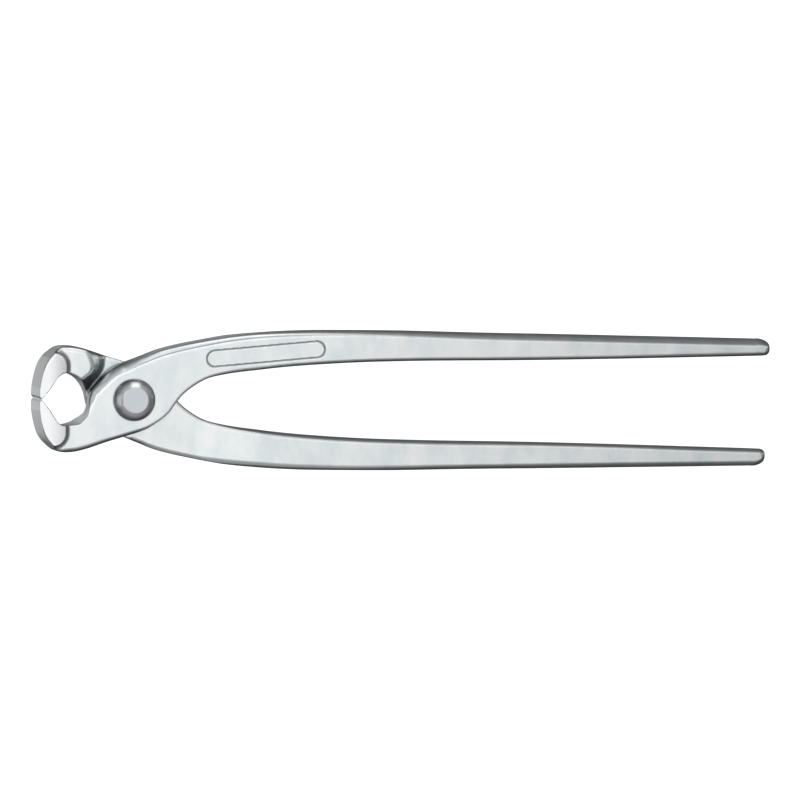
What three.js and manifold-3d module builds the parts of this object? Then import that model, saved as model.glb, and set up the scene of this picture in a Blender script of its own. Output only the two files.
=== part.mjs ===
// Rebar tying pliers: two forged halves that cross at a riveted lap joint, closed and lying flat.
// Millimetres, +Z up, +X along the handles. The origin is on the rivet's axis, at its rear flat.
// Each half is one loft from its cutting edge to the end of its handle. The rear half is the same
// forging as the front one, turned half a turn about the length of the tool.

import * as THREE from 'three';
import { mergeVertices } from 'three/addons/utils/BufferGeometryUtils.js';
import Module from 'manifold-3d';

// Overall sizes
const overall_length = 250;
const jaw_reach = 32.4;
const head_height = 35.5;
const handle_spread = 47.1;
const joint_thickness = 12;
const jaw_width = 15.6;

// Joint plate, round the pivot
const plate_radius = 11;
const shoulder_radius = 12.7;
const crotch_reach = 15.5;
const lap_end_reach = 20;
const lap_gap = 0.2;
const shoulder_gap = 0.4;
const shoulder_slope_run = 5.9;
const shoulder_corner_blend = 2.2;
const shoulder_wall_degrees = 128;

// Eye between the jaws, and the cutting edges
const eye_back_reach = 14.7;
const eye_back_depth = 8.3;
const eye_height = 18.2;
const edge_setback = 0.7;
const edge_bevel_height = 0.8;
const edge_gap = 0.2;

// Nose of each jaw, and the side faces that are ground on it, proud of the forging
const nose_depth = 9.9;
const nose_land = 3.1;
const pad_depth = 8.9;
const pad_corner_radius = 3.9;
const pad_margin = 2.25;
const pad_corner_start_degrees = -135;

// Handles
const handle_root_reach = 45;
const handle_root_width = 12.6;
const handle_end_width = 6.1;
const handle_root_thickness = 7.2;
const handle_end_thickness = 6;
const handle_end_drop = 0.6;

// Edge roundings
const outer_edge_radius = 2.6;
const outer_end_radius = 2;
const outer_back_radius = 1.5;
const plain_edge_radius = 1.1;
const end_edge_radius = 1;
const eye_edge_radius = 0.9;
const eye_back_edge_radius = 1.5;
const ground_edge_radius = 0.25;

// Rivet
const shank_diameter = 9;
const shank_clearance = 0.08;
const rivet_head_diameter = 14.2;
const rivet_flat_diameter = 8.3;
const rivet_head_height = 3.4;
const rivet_rim_height = 0.6;
const rivet_seat_gap = 0.1;
const rivet_dome_degrees = 65;

// How far the tools of the cuts run past the metal, and how finely round forms are divided
const overrun = 3;
const round_steps = 48;
const fillet_steps = 4;
const curve_steps = 900;
const front_edge_degrees = [0, 30, 60, 90];
const back_edge_degrees = [0, 45, 90];

// Outlines, as an angle in degrees round the pivot and a share of the radius beside it
const shoulder_shares = [
    [170, 1.14], [161, 1.08], [152, 1.04], [142, 1.015], [130, 1], [116, 1], [104, 1.005], [95, 1.045],
    [87, 1.11], [77, 1.215],
];
const plate_shares = [[-100, 1.125], [-73, 1], [-60, 1]];
const crotch_shares = [
    [-46, 0.722], [-31, 0.78], [-18, 0.855], [-7.5, 0.92], [0, 1], [6.6, 1.13], [12.9, 1.42],
];

// Outlines, as shares of the jaw's or handle's reach and of its half height or half spread
const underside_shares = [[0.602, 0.983], [0.481, 0.93], [0.281, 0.806]];
const outer_edge_shares = [
    [0.04, 0.722], [0.0905, 0.832], [0.1535, 0.921], [0.234, 0.979], [0.345, 1], [0.533, 0.98],
    [0.758, 0.9635], [0.942, 0.94], [1, 0.932],
];

// The handle's width from its root to its end: shares of its reach and of the whole taper
const taper_shares = [
    [0.1176, -0.16], [0.1457, -0.059], [0.1926, 0], [0.251, 0.108], [0.345, 0.265], [0.439, 0.392],
    [0.579, 0.515], [0.7675, 0.691], [0.942, 0.915], [1, 1],
];

// The corners of the handle's end, as shares of its width
const outer_corner_reach_share = 0.87;
const outer_corner_height_share = 0.58;
const inner_corner_share = 0.3;

// The front of the eye, from the cutting edge back: shares of its depth and of its half height
const eye_front_shares = [[0.77, 0.255], [0.61, 0.46], [0.48, 0.66], [0.32, 0.86], [0.15, 0.97]];

// How much further the shoulder's wall slopes where it leaves the forging's outline
const shoulder_flare_share = 1.6;

// Places that follow from the sizes
const handle_reach = overall_length - jaw_reach;
const half_head = head_height / 2;
const half_eye = eye_height / 2;
const half_joint = joint_thickness / 2;
const half_jaw = jaw_width / 2;
const lap_face = lap_gap / 2;
const eye_middle = -(eye_back_reach + eye_back_depth);
const rivet_seat = half_joint + rivet_seat_gap;
const rivet_top = rivet_seat + rivet_head_height;

const point = (x, y) => new THREE.Vector2(x, y);
const mirrored = (p) => point(p.x, -p.y);
const mix = THREE.MathUtils.lerp;

function polar(radius, degrees) {
    const angle = THREE.MathUtils.degToRad(degrees);
    return point(radius * Math.cos(angle), radius * Math.sin(angle));
}

// Points at equal steps along a smooth curve through the given ones.
function smooth(points, steps) {
    const places = points.map((p) => new THREE.Vector3(p.x, p.y, 0));
    const curve = new THREE.CatmullRomCurve3(places, false, 'centripetal');
    return curve.getSpacedPoints(steps).map((p) => point(p.x, p.y));
}

// Points along an ellipse between two angles in degrees.
function arc(centre, half_x, half_y, from, to, steps) {
    const points = [];
    for (let i = 0; i <= steps; i += 1) {
        const unit = polar(1, mix(from, to, i / steps));
        points.push(point(centre.x + half_x * unit.x, centre.y + half_y * unit.y));
    }
    return points;
}

function line(from, to, steps) {
    const points = [];
    for (let i = 0; i <= steps; i += 1) points.push(from.clone().lerp(to, i / steps));
    return points;
}

// A rounded corner between two lines, which starts and ends at one distance from it.
function blend(before, corner, after, distance) {
    const start = corner.clone().add(before.clone().sub(corner).setLength(distance));
    const end = corner.clone().add(after.clone().sub(corner).setLength(distance));
    return new THREE.QuadraticBezierCurve(start, corner, end).getPoints(fillet_steps);
}

// A run of points without the first, to be joined to the run before it.
const onward = (points) => points.slice(1);

// The index of the point of a curve that lies nearest a place.
function nearest(curve, place) {
    let best = 0;
    curve.forEach((p, i) => {
        if (p.distanceTo(place) < curve[best].distanceTo(place)) best = i;
    });
    return best;
}

// Points at equal steps along part of a finely divided curve, between two of its indices.
function stretch(curve, from, to, steps) {
    const points = [];
    for (let i = 0; i <= steps; i += 1) points.push(curve[Math.round(mix(from, to, i / steps))]);
    return points;
}

// The point of a curve that has a given x, counted from its far end, where it runs along the handle.
function at_x(curve, x) {
    let i = curve.length - 1;
    while (i > 1 && curve[i - 1].x > x) i -= 1;
    const share = (x - curve[i - 1].x) / (curve[i].x - curve[i - 1].x);
    return curve[i - 1].clone().lerp(curve[i], share).setX(x);
}

// Outline of the front half, which has the lower jaw and the upper handle.
// The upper edge runs from the cutting edge round the eye and over the joint's shoulder to the
// handle's outer edge. The lower edge runs down the nose, under the jaw and round the joint plate
// to the handle's inner edge.
const cutting_edge = point(-jaw_reach + edge_setback, -edge_gap / 2);
const nose_top = point(-jaw_reach, cutting_edge.y - edge_bevel_height);
const nose_turn = point(-jaw_reach, nose_top.y - nose_land);
const nose_centre = point(nose_turn.x + nose_depth, nose_turn.y);
const nose_end = point(nose_centre.x, -half_head);
const eye_centre = point(eye_middle, 0);
const eye_back = point(-eye_back_reach, 0);
const eye_bottom = point(eye_middle, -half_eye);

const outer_at = ([along, up]) => point(along * handle_reach, up * handle_spread / 2);
const outer_places = outer_edge_shares.map(outer_at);
const shoulder_places = shoulder_shares.map(([degrees, share]) => polar(share * shoulder_radius, degrees));
const upper_curve = smooth([eye_back, ...shoulder_places, ...outer_places], curve_steps);

const inner_places = taper_shares.map(([along, taper]) => {
    const outer = at_x(upper_curve, along * handle_reach);
    return point(outer.x, outer.y - mix(handle_root_width, handle_end_width, taper));
});
const underside_at = ([along, down]) => point(-along * jaw_reach, -down * half_head);
const underside_places = underside_shares.map(underside_at);
const plate_places = plate_shares.map(([degrees, share]) => polar(share * plate_radius, degrees));
const crotch_places = crotch_shares.map(([degrees, share]) => polar(share * crotch_reach, degrees));
const lower_curve = smooth(
    [nose_end, ...underside_places, ...plate_places, ...crotch_places, ...inner_places],
    curve_steps,
);

// The outline in zones. Each zone has as many points on its upper edge as on its lower one, and
// gives the edge roundings at its two ends: front upper, front lower, back upper, back lower.
function blade_zone() {
    const depth = eye_middle - cutting_edge.x;
    const front_at = ([back, down]) => point(eye_middle - back * depth, -down * half_eye);
    const eye_front = eye_front_shares.map(front_at);
    const nose = arc(nose_centre, nose_depth, nose_centre.y + half_head, 180, 270, 10);
    return {
        upper: smooth([cutting_edge, ...eye_front, eye_bottom], 14),
        lower: [...line(nose_top, nose_turn, 4), ...onward(nose)],
        radii: [
            [ground_edge_radius, ground_edge_radius, ground_edge_radius, ground_edge_radius],
            [eye_edge_radius, plain_edge_radius, eye_edge_radius, plain_edge_radius],
        ],
    };
}

function jaw_zone() {
    const plate_start = nearest(lower_curve, plate_places[0]);
    return {
        upper: arc(eye_centre, eye_back_depth, half_eye, 270, 360, 10),
        lower: stretch(lower_curve, 0, plate_start, 10),
        radii: [
            [eye_edge_radius, plain_edge_radius, eye_edge_radius, plain_edge_radius],
            [eye_back_edge_radius, plain_edge_radius, eye_edge_radius, plain_edge_radius],
        ],
    };
}

function plate_zone() {
    const shoulder_end = nearest(upper_curve, outer_places[0]);
    const plate_start = nearest(lower_curve, plate_places[0]);
    const crotch = nearest(lower_curve, polar(crotch_reach, 0));
    return {
        upper: stretch(upper_curve, 0, shoulder_end, 16),
        lower: stretch(lower_curve, plate_start, crotch, 16),
        radii: [
            [eye_back_edge_radius, plain_edge_radius, eye_edge_radius, plain_edge_radius],
            [outer_edge_radius, plain_edge_radius, ground_edge_radius, ground_edge_radius],
        ],
    };
}

function lap_end_zone() {
    const shoulder_end = nearest(upper_curve, outer_places[0]);
    const crotch = nearest(lower_curve, polar(crotch_reach, 0));
    const upper_end = at_x(upper_curve, lap_end_reach);
    const lower_end = at_x(lower_curve, lap_end_reach);
    return {
        upper: stretch(upper_curve, shoulder_end, nearest(upper_curve, upper_end), 4).with(4, upper_end),
        lower: stretch(lower_curve, crotch, nearest(lower_curve, lower_end), 4).with(4, lower_end),
        radii: [
            [outer_edge_radius, plain_edge_radius, ground_edge_radius, ground_edge_radius],
            [outer_edge_radius, plain_edge_radius, ground_edge_radius, ground_edge_radius],
        ],
    };
}

function handle_zone(from, to, steps, radii) {
    const along = line(point(from, 0), point(to, 0), steps).map((p) => p.x);
    return {
        upper: along.map((x) => at_x(upper_curve, x)),
        lower: along.map((x) => at_x(lower_curve, x)),
        radii,
    };
}

// The handle's end, where both of its corners are rounded in plan.
const outer_corner_reach = outer_corner_reach_share * handle_end_width;
const outer_corner_height = outer_corner_height_share * handle_end_width;
const inner_corner = inner_corner_share * handle_end_width;
const handle_body_end = handle_reach - outer_corner_reach;

function end_zone() {
    const outer = at_x(upper_curve, handle_body_end);
    const inner = at_x(lower_curve, handle_body_end);
    const inner_start = at_x(lower_curve, handle_reach - inner_corner);
    const outer_centre = point(outer.x, outer.y - outer_corner_height);
    const inner_centre = point(inner_start.x, inner_start.y + inner_corner);
    const inner_arc = arc(inner_centre, inner_corner, inner_corner, 270, 360, 5);
    return {
        upper: arc(outer_centre, outer_corner_reach, outer_corner_height, 90, 0, 7),
        lower: [...line(inner, inner_start, 2), ...onward(inner_arc)],
        radii: [end_radii, [end_edge_radius, end_edge_radius, end_edge_radius, end_edge_radius]],
    };
}

const root_radii = [outer_edge_radius, plain_edge_radius, outer_back_radius, plain_edge_radius];
const end_radii = [outer_end_radius, end_edge_radius, outer_back_radius, end_edge_radius];
const zones = [
    blade_zone(),
    jaw_zone(),
    plate_zone(),
    lap_end_zone(),
    handle_zone(lap_end_reach, handle_root_reach, 8, [
        [outer_edge_radius, plain_edge_radius, ground_edge_radius, ground_edge_radius],
        root_radii,
    ]),
    handle_zone(handle_root_reach, handle_body_end, 15, [root_radii, end_radii]),
    end_zone(),
];

// Heights of the two faces of the front half at one x. Left of the lap's end the back face is the
// jaw's, and the lap is cut out of it. From there it swells to the handle's root, then tapers.
function front_height(x) {
    const share = THREE.MathUtils.clamp((x - handle_root_reach) / (handle_reach - handle_root_reach), 0, 1);
    return half_joint - handle_end_drop * share;
}

function back_height(x) {
    const ramp_start = mix(crotch_reach, lap_end_reach, 1 / 2);
    if (x < ramp_start) return -half_joint;
    if (x < lap_end_reach) return mix(-half_joint, lap_face, (x - ramp_start) / (lap_end_reach - ramp_start));
    if (x < handle_root_reach) {
        const swell = THREE.MathUtils.smoothstep(x, lap_end_reach, handle_root_reach);
        return mix(lap_face, half_joint - handle_root_thickness, swell);
    }
    const share = Math.min((x - handle_root_reach) / (handle_reach - handle_root_reach), 1);
    return front_height(x) - mix(handle_root_thickness, handle_end_thickness, share);
}

// The edge's points from its back face to its front one: an arc, a wall and an arc.
function edge_column(place, outward, front_radius, back_radius) {
    const inward = (distance) => place.clone().addScaledVector(outward, -distance);
    const back = back_height(place.x);
    const front = front_height(place.x);
    const column = [];
    for (const degrees of back_edge_degrees) {
        const unit = polar(back_radius, degrees);
        const p = inward(back_radius - unit.y);
        column.push(new THREE.Vector3(p.x, p.y, back + back_radius - unit.x));
    }
    for (const degrees of front_edge_degrees) {
        const unit = polar(front_radius, degrees);
        const p = inward(front_radius - unit.x);
        column.push(new THREE.Vector3(p.x, p.y, front - front_radius + unit.y));
    }
    return column;
}

function geometry_of(vertices, triangles) {
    const geometry = new THREE.BufferGeometry();
    const numbers = vertices.flatMap((v) => [v.x, v.y, v.z]);
    geometry.setAttribute('position', new THREE.Float32BufferAttribute(numbers, 3));
    geometry.setIndex(triangles.flat());
    return geometry;
}

const quad = (a, b, c, d) => [[a, b, c], [a, c, d]];

// The blank of a half: a wall of edge columns round the outline, and a ladder of quads over each
// face, from the lower edge to the upper one.
function blank_geometry() {
    const lower = [];
    const upper = [];
    for (const zone of zones) {
        const steps = zone.upper.length - 1;
        for (let i = lower.length === 0 ? 0 : 1; i <= steps; i += 1) {
            const radii = zone.radii[0].map((radius, k) => mix(radius, zone.radii[1][k], i / steps));
            upper.push({ place: zone.upper[i], front: radii[0], back: radii[2] });
            lower.push({ place: zone.lower[i], front: radii[1], back: radii[3] });
        }
    }
    const loop = [...lower, ...upper.toReversed()];
    const vertices = loop.flatMap(({ place, front, back }, i) => {
        const before = loop.at(i - 1).place;
        const after = loop[(i + 1) % loop.length].place;
        const outward = point(after.y - before.y, before.x - after.x).normalize();
        return edge_column(place, outward, front, back);
    });
    const levels = vertices.length / loop.length;
    const index = (i, level) => (i % loop.length) * levels + level;
    const triangles = [];
    for (let i = 0; i < loop.length; i += 1) {
        for (let k = 0; k < levels - 1; k += 1) {
            triangles.push(...quad(index(i, k), index(i + 1, k), index(i + 1, k + 1), index(i, k + 1)));
        }
    }
    for (let i = 0; i < lower.length - 1; i += 1) {
        const across = loop.length - 1 - i;
        const top = levels - 1;
        triangles.push(...quad(index(i, top), index(i + 1, top), index(across - 1, top), index(across, top)));
        triangles.push(...quad(index(i, 0), index(across, 0), index(across - 1, 0), index(i + 1, 0)));
    }
    return geometry_of(vertices, triangles);
}

// A solid through outlines at rising heights, all with as many points, each counter-clockwise.
function stacked_geometry(levels) {
    const count = levels[0].outline.length;
    const vertices = levels.flatMap(({ outline, z }) => outline.map((p) => new THREE.Vector3(p.x, p.y, z)));
    const triangles = [];
    for (let k = 0; k < levels.length - 1; k += 1) {
        for (let i = 0; i < count; i += 1) {
            const j = (i + 1) % count;
            triangles.push(...quad(k * count + i, k * count + j, (k + 1) * count + j, (k + 1) * count + i));
        }
    }
    const top = (levels.length - 1) * count;
    for (const [a, b, c] of THREE.ShapeUtils.triangulateShape(levels[0].outline, [])) {
        triangles.push([c, b, a]);
    }
    for (const [a, b, c] of THREE.ShapeUtils.triangulateShape(levels.at(-1).outline, [])) {
        triangles.push([top + a, top + b, top + c]);
    }
    return geometry_of(vertices, triangles);
}

// The head's outline as far back as the joint plate, through the whole width of the jaws.
function jaw_prism_geometry() {
    const head = zones.slice(0, 2);
    const lower = head.flatMap((zone, i) => (i === 0 ? zone.lower : onward(zone.lower)));
    const upper = head.flatMap((zone, i) => (i === 0 ? zone.upper : onward(zone.upper)));
    const outline = [...lower, ...upper.toReversed()];
    return stacked_geometry([{ outline, z: -half_jaw }, { outline, z: half_jaw }]);
}

// The plan of a ground side face, grown by a distance.
function pad_outline(growth) {
    const right = -jaw_reach + pad_depth;
    const left = -jaw_reach - overrun;
    const centre = point(right - pad_corner_radius, -half_head + pad_margin + pad_corner_radius);
    const radius = pad_corner_radius + growth;
    const corner = arc(centre, radius, radius, pad_corner_start_degrees, 0, 9);
    return [point(right + growth, overrun), point(left, overrun), point(left, corner[0].y), ...corner];
}

// The ground side faces stand proud of the forging's own faces and meet them in a hollow fillet.
function pad_geometry() {
    const fillet = half_jaw - half_joint;
    const rise = [];
    for (let i = 0; i <= fillet_steps; i += 1) {
        const unit = polar(fillet, 90 * i / fillet_steps);
        rise.push({ growth: fillet - unit.y, z: half_joint + fillet - unit.x });
    }
    const fall = rise.toReversed().map(({ growth, z }) => ({ growth, z: -z }));
    const levels = [...fall, ...rise].map(({ growth, z }) => ({ outline: pad_outline(growth), z }));
    return stacked_geometry(levels);
}

// What is cut away behind the front half: room for the rear half's joint plate, flat at the lap
// face, with a wall that follows the rear half's shoulder and slopes away from it.
function lap_cutter_geometry() {
    const shoulder_end = nearest(upper_curve, polar(shoulder_radius, shoulder_wall_degrees));
    const shoulder = stretch(upper_curve, 0, shoulder_end, 14).map(mirrored);
    const wall = shoulder.map((p) => p.clone().setLength(p.length() + shoulder_gap));
    const below = -(half_head + overrun);
    const above = handle_spread / 2 + overrun;
    const depth = half_jaw + overrun;
    const outline_at = (shift) => {
        const moved = wall.map((p) => point(p.x - shift, p.y));
        const corner = moved.at(-1);
        const outer = point(wall.at(-1).x - shift * shoulder_flare_share, below);
        const kept = moved.filter((p) => p.distanceTo(corner) > shoulder_corner_blend);
        const blended = blend(kept.at(-1), corner, outer, shoulder_corner_blend);
        return [
            ...kept, ...blended, outer, point(lap_end_reach, below), point(lap_end_reach, above),
            point(moved[0].x, above),
        ];
    };
    const run = shoulder_slope_run * (depth + lap_face) / half_joint;
    return stacked_geometry([
        { outline: outline_at(run), z: -depth },
        { outline: outline_at(0), z: lap_face },
    ]);
}

// A cylinder about the pivot through the whole joint.
function bore_geometry() {
    const radius = shank_diameter / 2 + shank_clearance;
    const bore = new THREE.CylinderGeometry(radius, radius, joint_thickness + overrun, round_steps);
    return bore.rotateX(Math.PI / 2);
}

const wasm = await Module();
wasm.setup();

// A closed geometry as a solid that can be joined and cut.
function solid(geometry) {
    const bare = geometry.clone();
    bare.deleteAttribute('normal');
    bare.deleteAttribute('uv');
    const merged = mergeVertices(bare);
    const mesh = new wasm.Mesh({
        numProp: 3,
        vertProperties: new Float32Array(merged.attributes.position.array),
        triVerts: new Uint32Array(merged.index.array),
    });
    return new wasm.Manifold(mesh);
}

function geometry_from(body) {
    const mesh = body.getMesh();
    const geometry = new THREE.BufferGeometry();
    geometry.setAttribute('position', new THREE.BufferAttribute(mesh.vertProperties, 3));
    geometry.setIndex(new THREE.BufferAttribute(mesh.triVerts, 1));
    return geometry;
}

function half_geometry() {
    const pads = solid(pad_geometry()).intersect(solid(jaw_prism_geometry()));
    const blank = solid(blank_geometry()).add(pads);
    return geometry_from(blank.subtract(solid(lap_cutter_geometry())).subtract(solid(bore_geometry())));
}

// A shank through both halves, with a domed head on each side that is flat on top.
function rivet_geometry() {
    const head = rivet_head_diameter / 2;
    const flat = rivet_flat_diameter / 2;
    const turn = polar(1, rivet_dome_degrees);
    const centre = point((flat - head * turn.x) / (1 - turn.x), rivet_seat + rivet_rim_height);
    const dome_height = (rivet_top - centre.y) / turn.y;
    const dome = arc(centre, head - centre.x, dome_height, 0, rivet_dome_degrees, fillet_steps);
    const shank = shank_diameter / 2;
    const front = [point(shank, rivet_seat), point(head, rivet_seat), ...dome, point(0, rivet_top)];
    const profile = [...front.toReversed().map(mirrored), ...front];
    return new THREE.LatheGeometry(profile, round_steps).rotateX(Math.PI / 2);
}

const steel = (color, roughness) => new THREE.MeshStandardMaterial({ color, roughness, metalness: 0.9 });
const forged_steel = () => steel(0xd9dddc, 0.42);
const rivet_steel = () => steel(0xb9bfc2, 0.35);

const front_half = new THREE.Mesh(half_geometry(), forged_steel());
front_half.name = 'front_half';

const rear_half = new THREE.Mesh(half_geometry(), forged_steel());
rear_half.name = 'rear_half';
rear_half.rotation.x = Math.PI;

const rivet = new THREE.Mesh(rivet_geometry(), rivet_steel());
rivet.name = 'rivet';

const pliers = new THREE.Group();
pliers.add(front_half, rear_half, rivet);
pliers.position.z = rivet_top;

export default pliers;
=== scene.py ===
# Rebar tying pliers: two zinc-plated forgings that cross at a riveted lap joint, lying closed.
# Each forging is a field of signed distances, rounded, filleted and engraved, and skinned with a
# fine mesh. Sizes are in millimetres and angles in degrees, in the frame of one half, whose middle
# plane is z = 0 and whose jaw is the lower one. The rear half is turned half a turn about x.

import math

import bpy
import numpy as np
from mathutils import Matrix, Quaternion, Vector


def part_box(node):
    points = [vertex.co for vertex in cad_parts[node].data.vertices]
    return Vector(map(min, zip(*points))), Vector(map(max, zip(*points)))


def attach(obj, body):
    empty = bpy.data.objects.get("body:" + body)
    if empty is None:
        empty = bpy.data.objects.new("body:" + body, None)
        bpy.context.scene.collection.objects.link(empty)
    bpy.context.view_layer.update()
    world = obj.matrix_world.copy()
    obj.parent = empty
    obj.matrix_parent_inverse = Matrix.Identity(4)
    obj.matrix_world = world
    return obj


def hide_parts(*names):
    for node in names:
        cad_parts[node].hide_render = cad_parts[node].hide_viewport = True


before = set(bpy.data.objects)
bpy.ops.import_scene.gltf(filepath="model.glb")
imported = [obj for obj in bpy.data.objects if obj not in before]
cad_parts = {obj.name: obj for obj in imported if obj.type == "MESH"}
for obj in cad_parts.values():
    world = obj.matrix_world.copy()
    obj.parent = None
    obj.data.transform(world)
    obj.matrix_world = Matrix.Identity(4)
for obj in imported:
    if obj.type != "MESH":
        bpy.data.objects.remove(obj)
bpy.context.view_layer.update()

MM = 0.001


def node_box(node):
    """A node's lowest and highest corners in millimetres."""
    low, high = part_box(node)
    return np.array(low) / MM, np.array(high) / MM


# Sizes taken from the frame
half_low, half_high = node_box("front_half")
rivet_low, rivet_high = node_box("rivet")
jaw_reach = -half_low[0]
handle_reach = half_high[0]
half_spread = half_high[1]
half_head = -half_low[1]
half_jaw = (half_high[2] - half_low[2]) / 2
rivet_top = (rivet_high[2] - rivet_low[2]) / 2
rivet_head_radius = (rivet_high[0] - rivet_low[0]) / 2

# Joint
half_joint = 6.0
plate_radius = 11.0
shoulder_radius = 12.7
crotch_reach = 15.5
lap_end_reach = 20.0
lap_face = 0.1
bore_radius = 4.58
wall_top_radius = 0.9
wall_foot_radius = 0.25

# Eye, cutting edges, nose and the ground side face of the jaw, which is called the pad
eye_back_reach = 14.7
eye_back_depth = 8.3
half_eye = 9.1
edge_setback = 0.7
edge_bevel_height = 0.8
edge_gap = 0.06
nose_depth = 9.9
pad_depth = 8.9
pad_corner_radius = 4.3
pad_margin = 2.25
pad_crown = 0.013
pad_flat = 3.0
pad_overlap = 0.25
pad_inset = 0.02
pad_edge_radius = 0.15
eye_middle = -(eye_back_reach + eye_back_depth)

# Handles
handle_root_reach = 45.0
handle_root_width = 12.6
handle_end_width = 6.1
handle_root_thickness = 7.2
handle_end_thickness = 6.0
handle_end_drop = 0.6
outer_corner_reach = 0.87 * handle_end_width
outer_corner_height = 0.58 * handle_end_width
inner_corner = 0.3 * handle_end_width

# Faces as forged: how far they lie under the solid's, and how uneven they are away from the edges
face_inset = 0.03
uneven_height = 0.03
uneven_size = 14
uneven_seed = 3
uneven_margin = (0.5, 3)

# Outlines: angle in degrees round the pivot and a share of the radius beside it
shoulder_shares = [
    (170, 1.14), (161, 1.08), (152, 1.04), (142, 1.015), (130, 1), (116, 1), (104, 1.005),
    (95, 1.045), (87, 1.11), (77, 1.215),
]
plate_shares = [(-100, 1.125), (-73, 1), (-60, 1)]
crotch_shares = [
    (-46, 0.722), (-31, 0.78), (-18, 0.855), (-7.5, 0.92), (0, 1), (6.6, 1.13), (12.9, 1.42),
]

# Outlines: shares of the reach and of the half height or half spread
nose_shares = [
    (0.01, 0.225), (0.04, 0.338), (0.082, 0.45), (0.132, 0.563), (0.205, 0.676), (0.3, 0.76),
    (0.43, 0.845), (0.57, 0.924), (0.74, 0.98),
]
underside_shares = [(0.602, 0.983), (0.481, 0.93), (0.281, 0.806)]
outer_edge_shares = [
    (0.04, 0.722), (0.0905, 0.832), (0.1535, 0.921), (0.234, 0.979), (0.345, 1), (0.533, 0.98),
    (0.758, 0.9635), (0.942, 0.94), (1, 0.932),
]
taper_shares = [
    (0.1176, -0.16), (0.1457, -0.059), (0.1926, 0), (0.251, 0.108), (0.345, 0.265), (0.439, 0.392),
    (0.579, 0.515), (0.7675, 0.691), (0.942, 0.915), (1, 1),
]
eye_front_shares = [(0.77, 0.255), (0.61, 0.46), (0.48, 0.66), (0.32, 0.86), (0.15, 0.97)]

# How finely the curves are drawn
span_steps = 80
long_steps = 1800
nose_steps = 70
eye_steps = 60
inner_corner_steps = 12
outer_corner_steps = 20
wall_steps = 400
shortest_segment = 0.02


def polar(radius, degrees):
    angle = math.radians(degrees)
    return np.array([radius * math.cos(angle), radius * math.sin(angle)])


def smooth(points, steps):
    """Points at equal steps along a centripetal curve through the given ones."""
    points = np.array(points, float)
    ends = [2 * points[0] - points[1]], [2 * points[-1] - points[-2]]
    padded = np.concatenate([ends[0], points, ends[1]])
    fine = []
    for p0, p1, p2, p3 in zip(padded, padded[1:], padded[2:], padded[3:]):
        d0, d1, d2 = (math.sqrt(np.linalg.norm(b - a)) for a, b in ((p0, p1), (p1, p2), (p2, p3)))
        start = ((p1 - p0) / d0 - (p2 - p0) / (d0 + d1) + (p2 - p1) / d1) * d1
        end = ((p2 - p1) / d1 - (p3 - p1) / (d1 + d2) + (p3 - p2) / d2) * d1
        t = np.linspace(0, 1, span_steps, endpoint=False)[:, None]
        square = -3 * p1 + 3 * p2 - 2 * start - end
        cube = 2 * p1 - 2 * p2 + start + end
        fine.append(p1 + start * t + square * t**2 + cube * t**3)
    fine = np.concatenate(fine + [points[-1:]])
    along = np.concatenate([[0], np.cumsum(np.linalg.norm(np.diff(fine, axis=0), axis=1))])
    even = np.linspace(0, along[-1], steps + 1)
    return np.stack([np.interp(even, along, fine[:, k]) for k in (0, 1)], axis=1)


def arc(centre, half_x, half_y, start, end, steps):
    angles = np.radians(np.linspace(start, end, steps + 1))
    x = centre[0] + half_x * np.cos(angles)
    y = centre[1] + half_y * np.sin(angles)
    return np.stack([x, y], axis=1)


def nearest_index(curve, place):
    return int(np.argmin(np.linalg.norm(curve - place, axis=1)))


def handle_y(curve, x):
    """The height of a curve at x, where it runs along the handle."""
    last = curve[np.argmax(curve[:, 0] > lap_end_reach / 2):]
    return np.interp(x, last[:, 0], last[:, 1])


# Outline of a half
cutting_edge = np.array([-jaw_reach + edge_setback, -edge_gap / 2])
nose_top = np.array([-jaw_reach, cutting_edge[1] - edge_bevel_height])
nose_end = np.array([-jaw_reach + nose_depth, -half_head])
nose_places = [(-jaw_reach + a * nose_depth, -d * half_head) for a, d in nose_shares]

outer_places = [np.array([a * handle_reach, u * half_spread]) for a, u in outer_edge_shares]
shoulder_places = [polar(share * shoulder_radius, degrees) for degrees, share in shoulder_shares]
upper_curve = smooth([(-eye_back_reach, 0), *shoulder_places, *outer_places], long_steps)
inner_places = [
    (a * handle_reach,
     handle_y(upper_curve, a * handle_reach) - handle_root_width
     + taper * (handle_root_width - handle_end_width))
    for a, taper in taper_shares
]
lower_curve = smooth(
    [
        nose_end,
        *((-a * jaw_reach, -d * half_head) for a, d in underside_shares),
        *(polar(share * plate_radius, degrees) for degrees, share in plate_shares),
        *(polar(share * crotch_reach, degrees) for degrees, share in crotch_shares),
        *inner_places,
    ],
    long_steps,
)

# Edges of a half: the bevel beside the front face, with the radius that turns it into the side, the
# same for the back face, the draft of the side, how dark the painted shade line along the inner end
# of the front bevel is, and how far the side lies outside the outline.
edge_fields = (
    "front_width", "front_tilt", "front_radius", "back_width", "back_tilt", "back_radius",
    "draft", "line", "offset",
)
BLADE = (0, 0, 0.05, 0, 0, 0.05, 0, 0, 0)
EYE = (0, 0, 0.6, 0, 0, 0.9, 0, 0, 0.3)
EYE_BACK = (0, 0, 0.3, 0, 0, 0.9, 0, 0, 0.6)
EYE_TOP = (0.9, 27, 0.4, 0, 0, 0.9, 0, 0, 0.5)
EYE_CORNER = (1.8, 31, 0.5, 0, 0, 0.9, 1, 0, 0.35)
SHOULDER_FOOT = (2.2, 33, 0.8, 0, 0, 0.8, 4, 0, 0.15)
SHOULDER = (2.4, 32, 1.6, 0, 0, 0.8, 7, 0, 0.08)
SHOULDER_TOP = (2.0, 25, 1.2, 1.4, 34, 0.7, 8, 0.8, 0.05)
HANDLE_FOOT = (1.8, 21, 0.8, 1.5, 36, 0.5, 10, 1, 0.25)
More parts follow.
